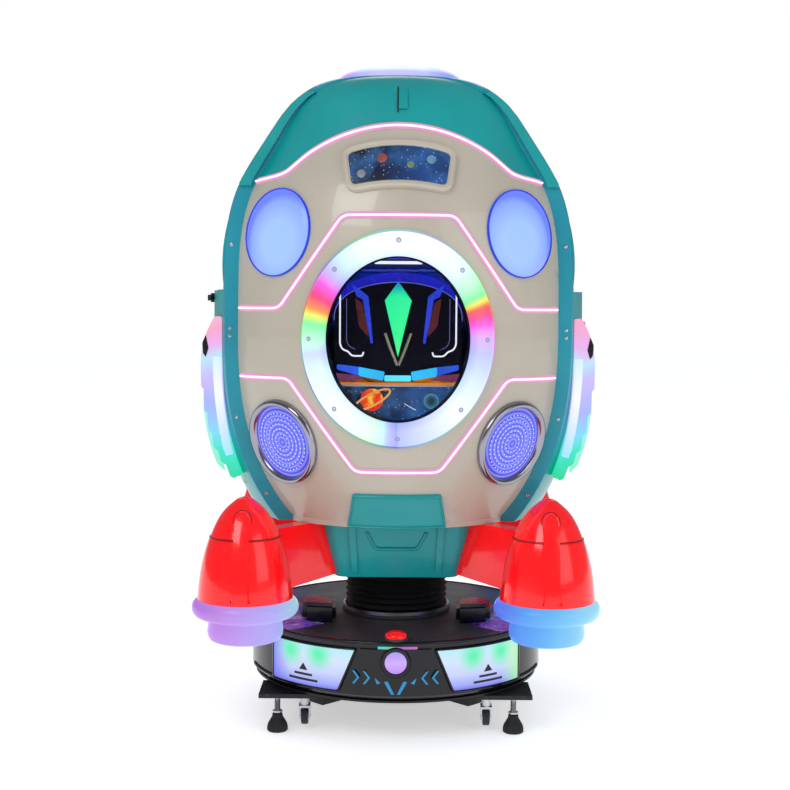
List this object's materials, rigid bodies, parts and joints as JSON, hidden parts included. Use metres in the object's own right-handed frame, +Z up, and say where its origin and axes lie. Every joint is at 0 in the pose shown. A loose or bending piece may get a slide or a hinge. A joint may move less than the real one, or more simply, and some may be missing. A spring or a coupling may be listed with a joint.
{
  "type": "kiddie ride machine",
  "caption": "Enclosed space-capsule ride: domed cabin with porthole and corner pods that turns, lifts and rocks on a round lit base.",
  "frame": {"origin": "on the floor under the middle of the machine, in the plane of the levelling feet's pads", "axes": "+Z up, -Y towards the front with the porthole, +X to the right seen from the front"},
  "size_m": [1.138, 1.214, 1.948],
  "materials": {
    "pearl_panel": "pearl beige gloss paint on moulded fibreglass",
    "teal_hood": "teal gloss paint on moulded fibreglass",
    "red_gloss": "red gloss moulding",
    "black_gloss": "black gloss moulding",
    "deck_charcoal": "satin charcoal coating",
    "frame_black": "black powder coat",
    "steel": "machined steel",
    "chrome_trim": "bright plated",
    "rubber_black": "matt black rubber",
    "lamp_lens": "translucent moulded lamp lens",
    "blue_lens": "translucent blue lamp lens",
    "window_clear": "clear moulded window",
    "console_dark": "dark navy moulding",
    "cabin_grey": "textured grey moulding",
    "seat_vinyl": "blue padded vinyl",
    "caster_tread": "dark grey nylon wheel",
    "motor_grey": "grey motor casting"
  },
  "bodies": {
    "base": {"base_frame": "frame_black", "drum_shell": "black_gloss", "deck_plate": "deck_charcoal", "drum_windows": "lamp_lens", "headlight": "black_gloss", "power_supply": "steel", "power_inlet": "frame_black", "gear_motor": "motor_grey", "drive_belt": "rubber_black", "bearing_housing": "steel", "levelling_feet": "steel"},
    "start_button": {"start_button": "red_gloss"},
    "motor_pulley": {"motor_pulley": "steel"},
    "turntable": {"bearing_inner_ring": "steel", "driven_pulley": "steel", "turntable_plate": "steel", "actuator_barrel": "steel", "bellows": "rubber_black"},
    "lift": {"lift_carriage": "steel", "actuator_rod": "steel", "rock_gearmotor": "motor_grey"},
    "side_door": {"side_door": "teal_hood"},
    "door_latch": {"door_latch": "frame_black"},
    "steering_wheel": {"steering_wheel": "console_dark"},
    "caster_fork_front_left": {"caster_fork_front_left": "steel"},
    "caster_wheel_front_left": {"caster_wheel_front_left": "caster_tread"},
    "caster_fork_front_right": {"caster_fork_front_right": "steel"},
    "caster_wheel_front_right": {"caster_wheel_front_right": "caster_tread"},
    "caster_fork_rear_left": {"caster_fork_rear_left": "steel"},
    "caster_wheel_rear_left": {"caster_wheel_rear_left": "caster_tread"},
    "caster_fork_rear_right": {"caster_fork_rear_right": "steel"},
    "caster_wheel_rear_right": {"caster_wheel_rear_right": "caster_tread"},
    "capsule": {"back_cushion": "seat_vinyl", "barrel_left": "teal_hood", "barrel_right": "teal_hood", "barrel_roof": "teal_hood", "belly_fairing": "teal_hood", "cabin_floor": "cabin_grey", "console": "console_dark", "dome_lamp": "lamp_lens", "door_hinges": "steel", "floor_beams": "frame_black", "front_hood": "teal_hood", "front_hoop": "teal_hood", "front_panel": "pearl_panel", "lower_lamps": "chrome_trim", "marquee": "pearl_panel", "pod_base_lamps": "lamp_lens", "pod_lamp_rings": "lamp_lens", "pod_shells": "red_gloss", "pod_struts": "red_gloss", "porthole_glass": "window_clear", "porthole_ring": "lamp_lens", "rear_hoop": "teal_hood", "rear_shell": "pearl_panel", "rock_axle": "steel", "seat_bench": "cabin_grey", "seat_cushion": "seat_vinyl", "upper_lamps": "blue_lens", "wing_lamps": "lamp_lens"}
  },
  "joints": [
    {"name": "turntable_yaw", "type": "hinge", "parent": "base", "child": "turntable", "pos_m": [0, 0, 0.276], "axis": [0, 0, 1], "continuous": true},
    {"name": "motor_pulley_spin", "type": "hinge", "parent": "base", "child": "motor_pulley", "pos_m": [0.235, 0, 0.21], "axis": [0, 0, 1], "continuous": true},
    {"name": "lift_slide", "type": "slide", "parent": "turntable", "child": "lift", "axis": [0, 0, 1], "range_m": [0, 0.05], "deforming": ["bellows"]},
    {"name": "capsule_rock", "type": "hinge", "parent": "lift", "child": "capsule", "pos_m": [0, 0, 0.52], "axis": [1, 0, 0], "range_deg": [-5, 5]},
    {"name": "side_door_hinge", "type": "hinge", "parent": "capsule", "child": "side_door", "pos_m": [-0.53, 0.206, 1.1], "axis": [0, 0, -1], "range_deg": [0, 90]},
    {"name": "door_latch_turn", "type": "hinge", "parent": "side_door", "child": "door_latch", "pos_m": [-0.55, -0.02, 1.244], "axis": [-1, 0, 0], "range_deg": [0, 45]},
    {"name": "steering_turn", "type": "hinge", "parent": "capsule", "child": "steering_wheel", "pos_m": [0, -0.185, 1.196], "axis": [0, 0.8263, 0.5632], "range_deg": [-90, 90]},
    {"name": "start_button_press", "type": "slide", "parent": "base", "child": "start_button", "axis": [0, 0, -1], "range_m": [0, 0.005], "stiffness_N_per_m": 600, "springref_m": -0.003},
    {"name": "caster_swivel_front_left", "type": "hinge", "parent": "base", "child": "caster_fork_front_left", "pos_m": [-0.262, -0.3, 0.1], "axis": [0, 0, 1], "continuous": true},
    {"name": "caster_roll_front_left", "type": "hinge", "parent": "caster_fork_front_left", "child": "caster_wheel_front_left", "pos_m": [-0.262, -0.285, 0.04], "axis": [1, 0, 0], "continuous": true},
    {"name": "caster_swivel_front_right", "type": "hinge", "parent": "base", "child": "caster_fork_front_right", "pos_m": [0.262, -0.3, 0.1], "axis": [0, 0, 1], "continuous": true},
    {"name": "caster_roll_front_right", "type": "hinge", "parent": "caster_fork_front_right", "child": "caster_wheel_front_right", "pos_m": [0.262, -0.285, 0.04], "axis": [1, 0, 0], "continuous": true},
    {"name": "caster_swivel_rear_left", "type": "hinge", "parent": "base", "child": "caster_fork_rear_left", "pos_m": [-0.262, 0.3, 0.1], "axis": [0, 0, 1], "continuous": true},
    {"name": "caster_roll_rear_left", "type": "hinge", "parent": "caster_fork_rear_left", "child": "caster_wheel_rear_left", "pos_m": [-0.262, 0.315, 0.04], "axis": [1, 0, 0], "continuous": true},
    {"name": "caster_swivel_rear_right", "type": "hinge", "parent": "base", "child": "caster_fork_rear_right", "pos_m": [0.262, 0.3, 0.1], "axis": [0, 0, 1], "continuous": true},
    {"name": "caster_roll_rear_right", "type": "hinge", "parent": "caster_fork_rear_right", "child": "caster_wheel_rear_right", "pos_m": [0.262, 0.315, 0.04], "axis": [1, 0, 0], "continuous": true}
  ],
  "couplings": [
    {"joint": "motor_pulley_spin", "follows": "turntable_yaw", "ratio": 2.48}
  ]
}
